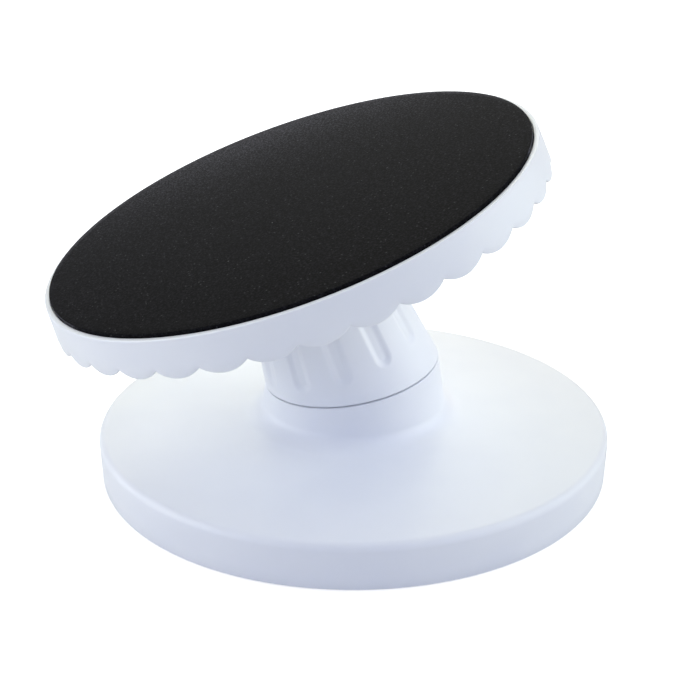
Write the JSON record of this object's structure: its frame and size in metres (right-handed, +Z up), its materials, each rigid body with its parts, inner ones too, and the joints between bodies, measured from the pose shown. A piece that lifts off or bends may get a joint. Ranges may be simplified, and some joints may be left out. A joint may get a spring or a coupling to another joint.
{
  "type": "cake turntable",
  "caption": "Tilting cake turntable: round platform with scalloped skirt and non-slip pad, turning on a ball bearing above a fluted collar that swivels on an oblique joint.",
  "frame": {"origin": "on the base's axis at ground level, at the middle of the centre foot's underside", "axes": "+Z up; at rest the platform is at full tilt and leans towards -X, and the XZ plane is the plane of the tilt"},
  "size_m": [0.2602, 0.2426, 0.1691],
  "materials": {
    "white_plastic": "satin-gloss moulded white plastic",
    "pad_rubber": "matte foam rubber, fine grain",
    "foot_rubber": "matte moulded rubber",
    "natural_acetal": "natural acetal",
    "zinc_steel": "zinc-plated steel",
    "bearing_steel": "ground and polished bearing steel",
    "spring_steel": "tempered spring steel"
  },
  "bodies": {
    "base": {"base_shell": "white_plastic", "bottom_cover": "white_plastic", "foot_1": "foot_rubber", "foot_2": "foot_rubber", "foot_3": "foot_rubber", "foot_4": "foot_rubber", "foot_5": "foot_rubber", "foot_6": "foot_rubber", "foot_centre": "foot_rubber", "cover_screw_1": "zinc_steel", "cover_screw_2": "zinc_steel", "cover_screw_3": "zinc_steel", "cover_screw_4": "zinc_steel", "cover_screw_5": "zinc_steel", "cover_screw_6": "zinc_steel", "swivel_bolt": "zinc_steel", "thrust_washer": "natural_acetal", "wave_spring": "spring_steel", "flat_washer": "zinc_steel", "lock_nut": "zinc_steel", "stop_pin": "zinc_steel"},
    "collar": {"collar_shell": "white_plastic", "swivel_bushing": "natural_acetal", "bearing_carrier": "natural_acetal", "carrier_screw_1": "zinc_steel", "carrier_screw_2": "zinc_steel", "carrier_screw_3": "zinc_steel", "spindle": "bearing_steel", "lower_race": "bearing_steel", "retaining_washer": "zinc_steel", "retaining_screw": "zinc_steel"},
    "cage": {"ball_cage": "natural_acetal", "ball_01": "bearing_steel", "ball_02": "bearing_steel", "ball_03": "bearing_steel", "ball_04": "bearing_steel", "ball_05": "bearing_steel", "ball_06": "bearing_steel", "ball_07": "bearing_steel", "ball_08": "bearing_steel", "ball_09": "bearing_steel", "ball_10": "bearing_steel", "ball_11": "bearing_steel", "ball_12": "bearing_steel"},
    "platform": {"platform": "white_plastic", "non_slip_pad": "pad_rubber", "upper_race": "bearing_steel", "hub_bushing": "natural_acetal"}
  },
  "joints": [
    {"name": "collar_swivel", "type": "hinge", "parent": "base", "child": "collar", "pos_m": [0, 0, 0.04155], "axis": [-0.1668, 0, 0.986], "range_deg": [0, 180]},
    {"name": "platform_spin", "type": "hinge", "parent": "collar", "child": "platform", "pos_m": [0, 0, 0.04155], "axis": [-0.3289, 0, 0.9444], "continuous": true},
    {"name": "cage_spin", "type": "hinge", "parent": "collar", "child": "cage", "pos_m": [0, 0, 0.04155], "axis": [-0.3289, 0, 0.9444], "continuous": true}
  ],
  "couplings": [
    {"joint": "cage_spin", "follows": "platform_spin", "ratio": 0.5}
  ]
}
